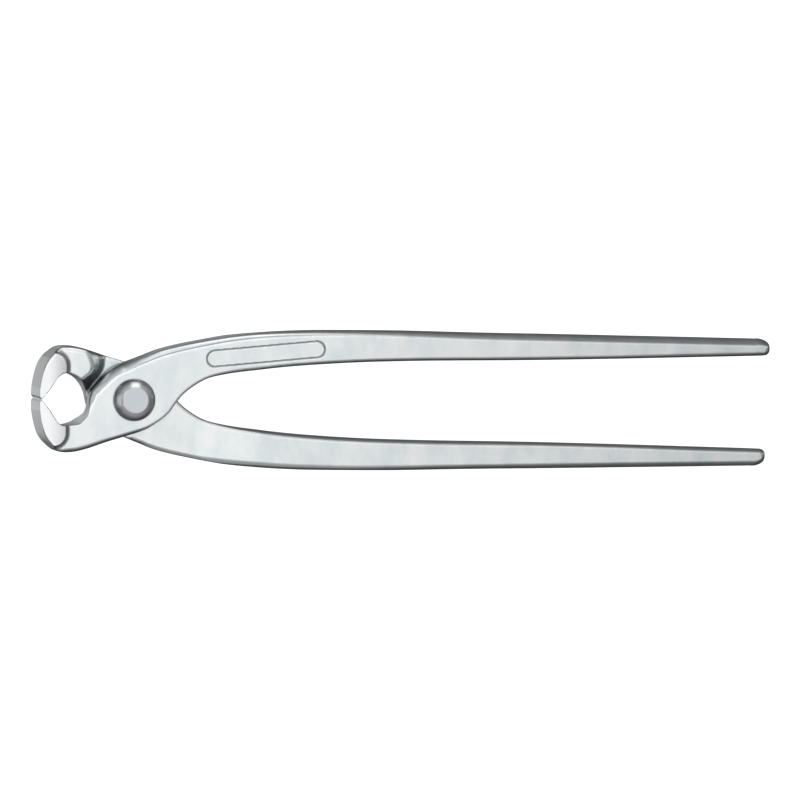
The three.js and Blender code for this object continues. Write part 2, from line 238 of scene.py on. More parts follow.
HANDLE_ROOT = (1.4, 23, 0.6, 1.4, 36, 0.5, 9, 1, 0.15)
HANDLE_QUARTER = (1.25, 33, 1.8, 1.15, 35, 0.8, 9, 0.1, 0.15)
HANDLE_MIDDLE = (1.7, 37, 2.6, 1.2, 37, 1.4, 9, 0, 0)
HANDLE_NEAR_END = (2.1, 41, 3.0, 1.5, 38, 2.2, 9, 0, -0.05)
HANDLE_END = (2.3, 43, 3.2, 1.6, 39, 2.6, 9, 0, 0.05)
TIP = (1.0, 52, 0.8, 1.0, 52, 0.8, 10, 0, 0.05)
NOSE_CORNER = (0, 0, 0.8, 0, 0, 0.8, 0, 0, 0)
UNDERSIDE = (1.5, 30, 1.5, 1.5, 24, 1.0, 1, 0, 0.12)
PLATE = (1.0, 34, 1.3, 0.4, 30, 0.4, 5, 0, 0.35)
CROTCH = (0.5, 42, 0.5, 0.9, 36, 0.5, 6, 0, 0.35)
INNER_ROOT = (0.7, 43, 0.6, 1.0, 36, 0.7, 8, 0, 0)
INNER = (0.75, 41, 0.8, 1.0, 35, 1.1, 8, 0, 0.05)
INNER_FAR = (0.8, 40, 0.9, 0.8, 38, 0.9, 8, 0, 0.15)
INNER_END = (0.95, 39, 1.1, 1.0, 43, 1.0, 8, 0, 0.1)

# The crease between a face and its bevel, which is rounded in full from this tilt on
crease_radius = 0.3
crease_full_tilt = 20.0


def outline_runs():
    """The stretches of the outline, counter-clockwise, each with the edges at equal steps of it."""
    end_x = handle_reach - outer_corner_reach
    inner_x = handle_reach - inner_corner
    top = handle_y(upper_curve, end_x)
    bottom = handle_y(lower_curve, inner_x)
    crotch = nearest_index(lower_curve, polar(crotch_reach, 0))
    last_inner = np.argmax(lower_curve[:, 0] > inner_x)
    first_outer = nearest_index(upper_curve, outer_places[0])
    root = nearest_index(upper_curve, outer_places[2])
    last_outer = np.argmax(upper_curve[:, 0] > end_x)

    nose = smooth([nose_top, *nose_places, nose_end], nose_steps)
    inner_end = arc(
        (inner_x, bottom + inner_corner), inner_corner, inner_corner, 270, 360, inner_corner_steps
    )
    outer_end = arc(
        (end_x, top - outer_corner_height), outer_corner_reach, outer_corner_height, 0, 90,
        outer_corner_steps,
    )
    eye_back = arc((eye_middle, 0), eye_back_depth, half_eye, 360, 270, eye_steps)
    depth = eye_middle - cutting_edge[0]
    eye_front = [(eye_middle - b * depth, -d * half_eye) for b, d in eye_front_shares]
    blade = smooth([cutting_edge, *eye_front, (eye_middle, -half_eye)], eye_steps)[::-1]
    return [
        (nose, [BLADE, BLADE, NOSE_CORNER, NOSE_CORNER, UNDERSIDE]),
        (lower_curve[:crotch], [UNDERSIDE, UNDERSIDE, PLATE, PLATE, CROTCH, CROTCH]),
        (
            lower_curve[crotch:last_inner],
            [CROTCH, INNER_ROOT, INNER, INNER, INNER, INNER_FAR, INNER_FAR, INNER_END, INNER_END],
        ),
        (inner_end, [TIP, TIP]),
        (outer_end, [TIP, HANDLE_END]),
        (
            upper_curve[root:last_outer][::-1],
            [HANDLE_END, HANDLE_NEAR_END, HANDLE_MIDDLE, HANDLE_QUARTER, HANDLE_ROOT],
        ),
        (upper_curve[first_outer:root][::-1], [HANDLE_ROOT, HANDLE_FOOT]),
        (
            upper_curve[:first_outer][::-1],
            [HANDLE_FOOT, HANDLE_FOOT, SHOULDER_TOP, SHOULDER, SHOULDER, SHOULDER, SHOULDER_FOOT,
             EYE_CORNER],
        ),
        (eye_back, [EYE_CORNER, EYE_TOP, EYE_BACK, EYE_BACK, EYE_BACK, EYE]),
        (blade, [EYE, BLADE, BLADE, BLADE]),
    ]


def outline():
    """The closed outline, counter-clockwise, and the edge at each of its points."""
    places = []
    edges = []
    for run, kinds in outline_runs():
        share = np.linspace(0, 1, len(run))
        kinds = np.array(kinds, float)
        steps = np.linspace(0, 1, len(kinds))
        places.append(run)
        edges.append(np.stack([np.interp(share, steps, column) for column in kinds.T], axis=1))
    places = np.concatenate(places)
    edges = np.concatenate(edges)
    kept = np.linalg.norm(places - np.roll(places, 1, axis=0), axis=1) > shortest_segment
    return places[kept], edges[kept]


def signed_distance(x, y, loop, reach=14.0, strip=4.0):
    """Distance to a counter-clockwise loop, below zero inside, and the nearest place along it.
    Beyond the reach it stays at the reach. It is worked out in strips of this width."""
    ahead = np.roll(loop, -1, axis=0)
    edge = ahead - loop
    length2 = (edge**2).sum(axis=1)
    normal = np.stack([edge[:, 1], -edge[:, 0]], axis=1) / np.sqrt(length2)[:, None]
    corner_normal = normal + np.roll(normal, 1, axis=0)
    left = np.minimum(loop[:, 0], ahead[:, 0])
    right = np.maximum(loop[:, 0], ahead[:, 0])
    distance = np.full(x.shape, reach)
    place = np.zeros(x.shape)
    strips = np.floor(x / strip).astype(int)
    order = np.argsort(strips, kind="stable")
    breaks = np.flatnonzero(np.diff(strips[order])) + 1
    for chosen in np.split(order, breaks):
        start = strips[chosen[0]] * strip
        near = np.flatnonzero((right > start - reach) & (left < start + strip + reach))
        if not len(near):
            continue
        px = x[chosen][:, None] - loop[near, 0]
        py = y[chosen][:, None] - loop[near, 1]
        share = np.clip((px * edge[near, 0] + py * edge[near, 1]) / length2[near], 0, 1)
        qx = px - share * edge[near, 0]
        qy = py - share * edge[near, 1]
        best = np.argmin(qx**2 + qy**2, axis=1)
        rows = np.arange(len(chosen))
        share = share[rows, best]
        qx = qx[rows, best]
        qy = qy[rows, best]
        segment = near[best]
        toward = normal[segment].copy()
        at_start = share <= 0
        at_end = share >= 1
        toward[at_start] = corner_normal[segment[at_start]]
        toward[at_end] = corner_normal[(segment[at_end] + 1) % len(loop)]
        sign = np.where(qx * toward[:, 0] + qy * toward[:, 1] < 0, -1, 1)
        distance[chosen] = np.clip(sign * np.hypot(qx, qy), -reach, reach)
        place[chosen] = segment + share
    return distance, place


def at_place(values, place):
    """Values given at a loop's points, between them."""
    first = np.floor(place).astype(int) % len(values)
    share = (place - np.floor(place))[:, None]
    return values[first] * (1 - share) + values[(first + 1) % len(values)] * share


def intersect(a, b, radius):
    """Two solids' common part, with its edge rounded."""
    corner = np.hypot(np.maximum(a + radius, 0), np.maximum(b + radius, 0))
    return np.minimum(np.maximum(a, b), -radius) + corner


def unite(a, b, radius):
    """Two solids together, with a hollow fillet between them."""
    corner = np.hypot(np.maximum(radius - a, 0), np.maximum(radius - b, 0))
    return np.maximum(np.minimum(a, b), radius) - corner


def smoothstep(x, low, high):
    """0 up to the first place and 1 from the second one on, smooth between them."""
    t = np.clip((x - low) / (high - low), 0, 1)
    return t * t * (3 - 2 * t)


def waves(x, y, size, seed, count=7):
    """A smooth uneven surface, mostly between -1 and 1."""
    random = np.random.default_rng(seed)
    angles = random.uniform(0, math.pi, count)
    phases = random.uniform(0, 2 * math.pi, count)
    stretches = random.uniform(0.6, 1.5, count)
    total = np.zeros(np.broadcast(x, y).shape)
    for angle, phase, stretch in zip(angles, phases, stretches):
        along = x * math.cos(angle) + y * math.sin(angle)
        total = total + np.sin(along * 2 * math.pi / (size * stretch) + phase)
    return total / 4


plan, plan_edges = outline()


def pad_distance(x, y):
    """Distance to the pad, in plan."""
    right = -jaw_reach + pad_depth + pad_overlap
    bottom = -half_head + pad_margin
    dx = x - (right - pad_corner_radius)
    dy = (bottom + pad_corner_radius) - y
    outside = np.hypot(np.maximum(dx, 0), np.maximum(dy, 0))
    return outside + np.minimum(np.maximum(dx, dy), 0) - pad_corner_radius


def plan_fields(x, y):
    """What depends on the place in plan alone."""
    distance, place = signed_distance(x, y, plan)
    fields = dict(zip(edge_fields, at_place(plan_edges, place).T))
    fields["distance"] = distance - fields.pop("offset")
    fields["draft"] = np.radians(fields["draft"])
    fields["pad"] = pad_distance(x, y)
    return fields


def side_distance(fields, x, z):
    """Distance to the side of a half, which leans in from the middle of its thickness both ways."""
    handle_middle = half_joint - handle_root_thickness / 2
    middle = handle_middle * smoothstep(x, lap_end_reach, handle_root_reach)
    draft = fields["draft"]
    return fields["distance"] * np.cos(draft) + np.abs(z - middle) * np.sin(draft)


def edged(fields, side, outside, face):
    """What lies inside the outline and under a face, with the edge between them bevelled beside the
    face and rounded beside the outline."""
    tilt = fields[side + "_tilt"]
    width = fields[side + "_width"]
    angle = np.radians(tilt)
    bevel = face * np.cos(angle) + (outside + width) * np.sin(angle)
    body = intersect(outside, bevel, fields[side + "_radius"])
    return intersect(body, face, crease_radius * smoothstep(tilt, 0, crease_full_tilt))


# The wall behind a half that makes room for the other half's shoulder, as pairs of how far it lies
# from the middle line and its x: at its foot on the lap plane, and where it reaches the jaw's face
wall_foot = smooth(
    [(0, -15.1), (2.6, -14.65), (4.6, -13.3), (6.4, -12.0), (8.2, -10.55), (9.7, -9.6),
     (11.2, -9.15), (13.2, -9.0), (15.5, -8.95), (20, -8.9)],
    wall_steps,
)
wall_top = smooth(
    [(0, -24), (4, -21), (5.6, -19.2), (7.15, -17.05), (8.8, -15.0), (9.9, -14.3),
     (11.15, -14.15), (13.15, -14.65), (15.8, -15.7), (20, -17.2)],
    wall_steps,
)


def wall_distance(x, y, z):
    """Distance to the lap's wall, below zero on the jaw's side."""
    rise = (lap_face - z) / (lap_face + half_joint)
    away = np.maximum(-y, 0)
    foot = np.interp(away, wall_foot[:, 0], wall_foot[:, 1])
    top = np.interp(away, wall_top[:, 0], wall_top[:, 1])
    step = 0.05
    turn = foot - np.interp(away + step, wall_foot[:, 0], wall_foot[:, 1])
    turn_top = top - np.interp(away + step, wall_top[:, 0], wall_top[:, 1])
    lean = (turn + (turn_top - turn) * rise) / step
    slope = (top - foot) / (lap_face + half_joint)
    return (x - foot - (top - foot) * rise) / np.sqrt(1 + lean**2 + slope**2)


# The front half's eye is ground out a little further at its lower corner, more so at the front
eye_trim_centre = (-17.2, -6.6)
eye_trim_full = 1.5
eye_trim_reach = 6.0
eye_trim_depth = 0.65
eye_trim_lean = 0.4


def eye_trim(x, y, z):
    """How much deeper the front half's eye is at a point."""
    away = np.hypot(x - eye_trim_centre[0], y - eye_trim_centre[1])
    depth = eye_trim_depth + eye_trim_lean * z / half_joint
    return smoothstep(away, eye_trim_reach, eye_trim_full) * depth


# Engraved panel on the front half's handle
panel_centre = (44.75, 15.5)
panel_length = 40.3
panel_width = 5.4
panel_tilt = 5.35
groove_radius = 0.32
groove_depth = 0.24
groove_edge_radius = 0.12


def panel_line(x, y):
    """Distance to the panel's outline, in plan."""
    angle = math.radians(panel_tilt)
    dx = x - panel_centre[0]
    dy = y - panel_centre[1]
    along = dx * math.cos(angle) + dy * math.sin(angle)
    across = -dx * math.sin(angle) + dy * math.cos(angle)
    straight = (panel_length - panel_width) / 2
    return np.abs(np.hypot(np.maximum(np.abs(along) - straight, 0), across) - panel_width / 2)


def forging(x, y, z, fields, is_front):
    """Signed distance to a half."""
    share = np.clip((x - handle_root_reach) / (handle_reach - handle_root_reach), 0, 1)
    uneven = uneven_height * waves(x, y, uneven_size, uneven_seed)
    uneven = uneven * smoothstep(-fields["distance"], *uneven_margin)
    face = half_joint - handle_end_drop * share - face_inset + uneven
    rear_face = -half_joint + face_inset - uneven
    swell = half_joint - handle_root_thickness
    back_face = lap_face + (swell - lap_face) * smoothstep(x, lap_end_reach, handle_root_reach)
    thickness = handle_root_thickness + (handle_end_thickness - handle_root_thickness) * share
    handle_back = half_joint - handle_end_drop * share - thickness
    back_face = np.where(x > handle_root_reach, handle_back, back_face)

    crown = pad_crown * np.clip(x + jaw_reach - pad_flat, 0, pad_depth) ** 2
    pad_face = half_jaw - pad_inset - crown
    front_pad = intersect(fields["pad"], z - pad_face, pad_edge_radius)
    back_pad = intersect(fields["pad"], -z - pad_face, pad_edge_radius)
    fillet = half_jaw - half_joint
    wall = wall_distance(x, y, z)
    jaw = intersect(unite(rear_face - z, back_pad, fillet), wall, wall_top_radius)
    back = unite(jaw, back_face - z, wall_foot_radius)

    outside = side_distance(fields, x, z)
    if is_front:
        outside = outside + eye_trim(x, y, z)
    body = np.maximum(
        edged(fields, "front", outside, unite(z - face, front_pad, fillet)),
        edged(fields, "back", outside, back),
    )
    body = np.maximum(body, bore_radius - np.hypot(x, y))
    if is_front:
        up = z - face - groove_radius + groove_depth
        groove = np.hypot(panel_line(x, y), up) - groove_radius
        body = intersect(body, -groove, groove_edge_radius)
    return body


# The grid that a half is skinned on: its step, which is half as long round the cutting edges and
# twice as long along the plain handle
fine_step = 0.295
grid_margin = 0.6
edge_zone_depth = 2.0
edge_zone_low = -1.2
edge_zone_high = 0.2
plain_handle_reach = 68.0
tip_zone_depth = 8.0
corner_steps = [(i, j, k) for i in (0, 1) for j in (0, 1) for k in (0, 1)]


def steps_between(*stops):
    """Places at uneven steps: start, then pairs of a stop and the step up to it."""
    places = [stops[0]]
    for stop, step in zip(stops[1::2], stops[2::2]):
        count = max(1, round((stop - places[-1]) / step))
        places.extend(np.linspace(places[-1], stop, count + 1)[1:])
    return np.array(places)


def grid_axes():
    """Where the grid's planes lie along x, y and z."""
    fine = fine_step * 1
    return (
        steps_between(
            -jaw_reach - grid_margin, edge_zone_depth - jaw_reach, fine / 2,
            plain_handle_reach, fine, handle_reach - tip_zone_depth, 2 * fine,
            handle_reach + grid_margin, fine,
        ),
        steps_between(
            -half_head - grid_margin, edge_zone_low, fine, edge_zone_high, fine / 2,
            half_spread + grid_margin, fine,
        ),
        steps_between(-half_jaw - grid_margin, half_jaw + grid_margin, fine),
    )


def crossed_cells(inside):
    """The grid's cells that the surface crosses, and an array of all cells with their numbers."""
    shape = tuple(n - 1 for n in inside.shape)
    count = np.zeros(shape, np.int8)
    for i, j, k in corner_steps:
        count += inside[i:shape[0] + i, j:shape[1] + j, k:shape[2] + k]
    cells = np.argwhere((count > 0) & (count < len(corner_steps)))
    number = np.full(shape, -1)
    number[tuple(cells.T)] = np.arange(len(cells))
    return cells, number


def cell_points(axes, values, cells):
    """In each cell, the mean of the places where the surface crosses the cell's edges."""
    total = np.zeros((len(cells), 3))
    hits = np.zeros(len(cells))
    for a in corner_steps:
        for b in corner_steps:
            if sum(b) != sum(a) + 1 or sum(abs(p - q) for p, q in zip(a, b)) != 1:
                continue
            at_a = tuple((cells + a).T)
            at_b = tuple((cells + b).T)
            va = values[at_a]
            vb = values[at_b]
            crossed = (va < 0) != (vb < 0)
            share = np.where(crossed, va / np.where(crossed, va - vb, 1), 0)
            start = np.stack([axis[n] for axis, n in zip(axes, at_a)], axis=1)
            end = np.stack([axis[n] for axis, n in zip(axes, at_b)], axis=1)
            total += np.where(crossed[:, None], start + (end - start) * share[:, None], 0)
            hits += crossed
    return total / hits[:, None]


def cell_quads(inside, number):
    """A quad round each grid edge that the surface crosses, of the four cells beside the edge."""
    quads = []
    for axis in range(3):
        u, v = (axis + 1) % 3, (axis + 2) % 3
        low = [slice(None)] * 3
        high = [slice(None)] * 3
        low[axis] = slice(0, -1)
        high[axis] = slice(1, None)
        change = inside[tuple(low)].astype(np.int8) - inside[tuple(high)].astype(np.int8)
        for sign in (1, -1):
            edges = np.argwhere(change == sign)
            edges = edges[(edges[:, u] > 0) & (edges[:, v] > 0)]
            ring = []
            for du, dv in ((1, 1), (0, 1), (0, 0), (1, 0)):
                cell = edges.copy()
                cell[:, u] -= du
                cell[:, v] -= dv
                ring.append(number[tuple(cell.T)])
            quads.append(np.stack(ring if sign == 1 else ring[::-1], axis=1))
    return np.concatenate(quads)


def slope_at(points, is_front):
    """The field and its slope at some points."""
    step = 0.02
    x, y, z = points.T
    fields = plan_fields(x, y)
    here = forging(x, y, z, fields, is_front)
    ahead = (
        forging(x + step, y, z, plan_fields(x + step, y), is_front),
        forging(x, y + step, z, plan_fields(x, y + step), is_front),
        forging(x, y, z + step, fields, is_front),
    )
    return here, (np.stack(ahead, axis=1) - here[:, None]) / step


def settle(points, is_front, rounds=3, longest_move=0.1, least_slope2=0.2, least_slope=0.01):
    """Moves points onto the surface along the field's slope, and gives them with its normals. The
    slope counts as no less than the least, where two faces meet."""
    here, slope = slope_at(points, is_front)
    slope /= np.maximum((slope**2).sum(axis=1), least_slope2)[:, None]
    for again in range(rounds):
        if again:
            x, y, z = points.T
            here = forging(x, y, z, plan_fields(x, y), is_front)
        points = points - np.clip(slope * here[:, None], -longest_move, longest_move)
    normals = slope_at(points, is_front)[1]
    lengths = np.maximum(np.linalg.norm(normals, axis=1), least_slope)
    return points, normals / lengths[:, None]


def skin(is_front):
    """Vertices, normals and quads of the surface where a half's signed distance is zero."""
    xs, ys, zs = axes = grid_axes()
    fields = plan_fields(np.repeat(xs, len(ys)), np.tile(ys, len(xs)))
    fields = {name: value.reshape(len(xs), len(ys), 1) for name, value in fields.items()}
    values = forging(xs[:, None, None], ys[None, :, None], zs[None, None, :], fields, is_front)
    inside = values < 0
    cells, number = crossed_cells(inside)
    points, normals = settle(cell_points(axes, values, cells), is_front)
    return points, normals, cell_quads(inside, number)


def new_mesh_object(name, points, faces):
    """An object of a mesh whose faces all have as many corners."""
    mesh = bpy.data.meshes.new(name)
    corners = faces.shape[1]
    mesh.vertices.add(len(points))
    mesh.vertices.foreach_set("co", (points * MM).astype(np.float32).ravel())
    mesh.loops.add(faces.size)
    mesh.loops.foreach_set("vertex_index", faces.astype(np.int32).ravel())
    mesh.polygons.add(len(faces))
    mesh.polygons.foreach_set("loop_start", np.arange(0, faces.size, corners, dtype=np.int32))
    mesh.polygons.foreach_set("loop_total", np.full(len(faces), corners, np.int32))
    mesh.update(calc_edges=True)
    mesh.validate()
    mesh.shade_smooth()
    piece = bpy.data.objects.new(name, mesh)
    bpy.context.scene.collection.objects.link(piece)
    return piece


# How dark the painted shade is in each place, and how far from the middle line the nose's painted
# dark ends begin
shoulder_painted_shade = 0.85
eye_painted_shade = 0.6
wall_painted_shade = 0.7
fillet_painted_shade = 0.6
nose_painted_shade = 0.2
nose_painted_shade_reach = 3.6
nose_end_painted_shade = 0.5
nose_end_painted_shade_reach = 13.3
nip_painted_shade = 0.8


def darkened(points, fields, nip):
    """How much painted shade a point of a half gets: near 1 in the corners that catch no light,
    some on the nose, and nip beside the cutting edge."""
    x, y, z = points.T
    height = np.abs(z)
    distance = fields["distance"]

    # Painted shade on the shoulder's wall under the front bevel, and on the eye's wall that carries
    # on from it
    shoulder = smoothstep(y, -0.5, 2) * smoothstep(x, 9, 3) * smoothstep(distance, -1.4, -0.6)
    shoulder *= (smoothstep(z, half_joint - 1.6, half_joint - 3)
                 * smoothstep(z, lap_face, lap_face + 0.6))
    eye_wall = smoothstep(y, -8, -3) * smoothstep(y, 3, 1) * smoothstep(x, -9, -12)
    eye_wall *= smoothstep(x, eye_middle, eye_middle + 2)
    eye_wall *= (smoothstep(distance, -1.6, -1.2)
                 * smoothstep(height, half_joint - 0.8, half_joint - 1.5))
    eye_wall *= smoothstep(height, 0.2, 0.5)

    # Painted shade on the lap's wall, up to a height that grows towards the eye
    rise = 2.3 + 2.6 * smoothstep(-y, 11, 7)
    wall = (smoothstep(np.abs(wall_distance(x, y, z)), 0.7, 0.2)
            * smoothstep(-z, rise + 0.9, rise - 0.1))
    wall *= smoothstep(z, -0.1, -0.5)

    # Painted shade in the fillet beside the pad
    pad = pad_distance(x, y)
    fillet = smoothstep(pad, -0.2, 0.4) * smoothstep(pad, 1.9, 1.1) * smoothstep(height, 5.4, 5.9)

    # Painted shade on the nose's side, and beside the cutting edge
    side = smoothstep(x, 7 - jaw_reach, 6 - jaw_reach) * smoothstep(distance, -0.3, -0.15)
    nose = np.maximum(
        nose_painted_shade * smoothstep(-y, nose_painted_shade_reach, nose_painted_shade_reach + 0.6),
        nose_end_painted_shade * smoothstep(-y, nose_end_painted_shade_reach, nose_end_painted_shade_reach + 1),
    ) * side
    nip_height = smoothstep(-y, edge_bevel_height + 0.35, edge_bevel_height + 0.2)
    return np.maximum.reduce([
        shoulder_painted_shade * shoulder, eye_painted_shade * eye_wall, wall_painted_shade * wall,
        fillet_painted_shade * fillet, nose, nip * side * nip_height,
    ])


def ground(points):
    """1 on the pads, else 0."""
    x, y, z = points.T
    top = smoothstep(np.abs(z), half_jaw - 0.9, half_jaw - 0.7)
    return smoothstep(pad_distance(x, y), 0.3, 0) * top


def make_forging(name, node, body, material, is_front):
    """A half, with what the material needs to know at each point."""
    points, normals, quads = skin(is_front)
    x, y, z = points.T
    fields = plan_fields(x, y)
    layers = {
        # dark: how much painted shade each point gets, in corners, on walls, on the nose and beside
        # the cutting edge
        "dark": darkened(points, fields, 0 if is_front else nip_painted_shade),
        "ground": ground(points),
        "rim": -side_distance(fields, x, z) - fields["front_width"],
        # line: how dark the painted shade line along the inner end of the front bevel is
        "line": fields["line"] * smoothstep(z, half_joint - 2, half_joint - 1.5),
    }
    if not is_front:
        points = points * [1, -1, -1]
        normals = normals * [1, -1, -1]
    points = np.clip(points + [0, 0, rivet_top], *node_box(node))
    piece = new_mesh_object(name, points, quads)
    piece.data.normals_split_custom_set_from_vertices(normals.tolist())
    for layer, values in layers.items():
        attribute = piece.data.attributes.new(layer, "FLOAT", "POINT")
        attribute.data.foreach_set("value", values.astype(np.float32))
    piece.data.materials.append(material)
    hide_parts(node)
    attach(piece, body)


# Rivet
shank_radius = 4.5
rivet_seat_gap = 0.1
rivet_rim_height = 0.6
rivet_rim_radius = 0.2
rivet_flat_radius = 4.15
rivet_flat_edge = 0.05
rivet_dome_turn = 20.0
rivet_dome_steps = 24
rivet_rim_steps = 4
rivet_sides = 180


def rivet_profile():
    """Half of the rivet's section, from the rear flat round to the front one."""
    seat = half_joint + rivet_seat_gap
    base = np.array([rivet_head_radius, seat + rivet_rim_height])
    rise = np.array([rivet_flat_radius, rivet_top]) - base
    chord = np.linalg.norm(rise)
    radius = chord / 2 / math.sin(math.radians(rivet_dome_turn))
    inward = np.array([-rise[1], rise[0]]) / chord
    centre = base + rise / 2 + inward * radius * math.cos(math.radians(rivet_dome_turn))
    middle = math.degrees(math.atan2(-inward[1], -inward[0]))
    start, end = middle - rivet_dome_turn, middle + rivet_dome_turn
    dome = arc(centre, radius, radius, start, end, rivet_dome_steps)
    rim_centre = (rivet_head_radius - rivet_rim_radius, seat + rivet_rim_radius)
    rim = arc(rim_centre, rivet_rim_radius, rivet_rim_radius, -90, 0, rivet_rim_steps)
    flat_radii = (rivet_flat_radius - rivet_flat_edge, rivet_flat_radius / 2, 0)
    flat = np.array([(radius, rivet_top) for radius in flat_radii])
    front = np.concatenate([[(shank_radius, 0), (shank_radius, seat)], rim, dome, flat])
    return np.concatenate([(front * [1, -1])[::-1], front[1:]])


def make_rivet(material):
    """A shank with two heads, turned from one profile."""
    profile = rivet_profile()
    angles = np.arange(rivet_sides) * 2 * math.pi / rivet_sides
    ring = np.stack([np.cos(angles), np.sin(angles)], axis=1)
    inner = profile[1:-1]
    points = [(0, 0, profile[0][1])]
    for radius, height in inner:
        points.extend(np.column_stack([ring * radius, np.full(rivet_sides, height)]))
    points.append((0, 0, profile[-1][1]))
    faces = []
    last = 1 + (len(inner) - 1) * rivet_sides
    for i in range(rivet_sides):
        j = (i + 1) % rivet_sides
        faces.append((0, 1 + j, 1 + i))
        for k in range(len(inner) - 1):
            low = 1 + k * rivet_sides
            high = low + rivet_sides
            faces.append((low + i, low + j, high + j, high + i))
        faces.append((last + i, last + j, len(points) - 1))
    mesh = bpy.data.meshes.new("rivet_turned")
    places = (np.array(points) + [0, 0, rivet_top]) * MM
    mesh.from_pydata(places.tolist(), [], faces)
    mesh.update()
    mesh.shade_smooth()
    mesh.materials.append(material)
    piece = bpy.data.objects.new("rivet_turned", mesh)
    bpy.context.scene.collection.objects.link(piece)
    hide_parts("rivet")
    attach(piece, "front")


class Graph:
    """The nodes of a material or of the world. A value given to a node's input is a number, a tuple
    or another node's output."""

    def __init__(self, owner):
        owner.use_nodes = True
        self.nodes = owner.node_tree.nodes
        self.links = owner.node_tree.links

    def give(self, socket, value):
        if isinstance(value, bpy.types.NodeSocket):
            self.links.new(value, socket)
        else:
            socket.default_value = value

    def add(self, kind, values, **settings):
        node = self.nodes.new(kind)
        for name, value in settings.items():
            setattr(node, name, value)
        for name, value in values.items():
            self.give(node.inputs[name], value)
        return node

    def calculate(self, operation, *values):
        node = self.add("ShaderNodeMath", {}, operation=operation)
        for socket, value in zip(node.inputs, values):
            self.give(socket, value)
        return node.outputs["Value"]

    def spread(self, value, start, end, low=0.0, high=1.0):
        """Low before the start, high after the end, even between them."""
        node = self.add("ShaderNodeMapRange", {
            "Value": value, "From Min": start, "From Max": end, "To Min": low, "To Max": high,
        })
        return node.outputs["Result"]

    def split(self, vector):
        return self.add("ShaderNodeSeparateXYZ", {"Vector": vector}).outputs

    def mix(self, kind, share, first, second):
        values = {"Fac": share, "Color1": first, "Color2": second}
        return self.add("ShaderNodeMixRGB", values, blend_type=kind).outputs["Color"]

    def ramp(self, value, stops):
        """A colour for each value. Stops are pairs of a value and a colour."""
        node = self.add("ShaderNodeValToRGB", {"Fac": value})
        elements = node.color_ramp.elements
        while len(elements) < len(stops):
            elements.new(0.5)
        for element, (place, colour) in zip(elements, stops):
            element.position = place
            element.color = (*colour, 1)
        return node.outputs["Color"]

    def layer(self, name):
        """What the mesh carries under a name."""
        return self.add("ShaderNodeAttribute", {}, attribute_name=name).outputs["Fac"]


def new_material(name):
    material = bpy.data.materials.new(name)
    graph = Graph(material)
    return material, graph, graph.nodes["Principled BSDF"]


# Zinc plate: the sizes of its patterns in cycles per metre, and the depths of its bumps in metres
cloud_scale = 75
cloud_detail = 5
cloud_roughness = 0.6
cloud_stretch = (1.6, 0.8, 1)
cloud_turn = 12
cloud_range = (0.3, 0.7)
cloud_cooling = (1, 0.65, 0.55)
grain_scale = 900
grain_detail = 5
grain_depth = 0.00005
pit_scale = 420
pit_range = (0.02, 0.2)
pit_depth = 0.00006

# Its roughness beside the mean, its other colours, the colours of its painted shade, and what
# darkens and roughens it in places
grain_roughness = (-0.06, 0.08)
ground_colour = (0.9, 0.91, 0.925)
# colour of the painted shade in the corners, on the walls, nose and nip, and under the rivet's rims
painted_shade_colour = (0.25, 0.25, 0.26)
# colour of the painted shade line along the inner end of the front bevel
painted_line_shade = (0.4, 0.39, 0.42)
# painted shade in the groove, on its duller plate
groove_dull_plate_and_shade = (0.42, 0.42, 0.44)
groove_roughness = 0.1
flat_shade = (0.9, 0.92, 0.95)
flat_roughness = 0.15
# how dark the painted shade under the rivet's rims is
rivet_rim_painted_shade = 0.75

# Where those places begin and where they are in full, in millimetres: from the middle of the line
# along the front bevel and of the groove, above the middle plane on the panel's side, in from the
# rivet's rim, and below its flats
rim_line_inset = 0.25
rim_line_range = (0.34, 0.1)
groove_range = (0.36, 0.14)
groove_heights = (4, 5)
rivet_rim_range = (1.7, 0.3)
rivet_flat_range = (0.1, 0.05)


def groove_mask(graph, where):
    """1 in the panel's groove on the front face, else 0: there the plate is duller and carries
    painted shade.
    """
    centre = (panel_centre[0] * MM, panel_centre[1] * MM, rivet_top * MM)
    turn = (0, 0, math.radians(panel_tilt))
    values = {"Vector": where, "Location": centre, "Rotation": turn}
    place = graph.add("ShaderNodeMapping", values, vector_type="TEXTURE")
    along, across, up = graph.split(place.outputs["Vector"])
    straight = (panel_length - panel_width) / 2 * MM
    beyond = graph.calculate("SUBTRACT", graph.calculate("ABSOLUTE", along), straight)
    beyond = graph.calculate("MAXIMUM", beyond, 0.0)
    square = graph.calculate("MULTIPLY", across, across)
    away = graph.calculate("SQRT", graph.calculate("MULTIPLY_ADD", beyond, beyond, square))
    off = graph.calculate("ABSOLUTE", graph.calculate("SUBTRACT", away, panel_width / 2 * MM))
    line = graph.spread(off, groove_range[0] * MM, groove_range[1] * MM)
    front = graph.spread(up, groove_heights[0] * MM, groove_heights[1] * MM)
    return graph.calculate("MULTIPLY", line, front)


def flat_mask(graph, where):
    """1 on the flat tops of the rivet's heads, else 0."""
    up = graph.calculate("SUBTRACT", graph.split(where)["Z"], rivet_top * MM)
    up = graph.calculate("ABSOLUTE", up)
    start, end = ((rivet_top - depth) * MM for depth in rivet_flat_range)
    return graph.spread(up, start, end)


def rim_mask(graph, where):
    """Painted shade that rises towards the rims of the rivet's heads."""
    x, y, _ = graph.split(where)
    square = graph.calculate("MULTIPLY", y, y)
    away = graph.calculate("SQRT", graph.calculate("MULTIPLY_ADD", x, x, square))
    start, end = ((rivet_head_radius - inset) * MM for inset in rivet_rim_range)
    return graph.calculate("MULTIPLY", graph.spread(away, start, end), rivet_rim_painted_shade)


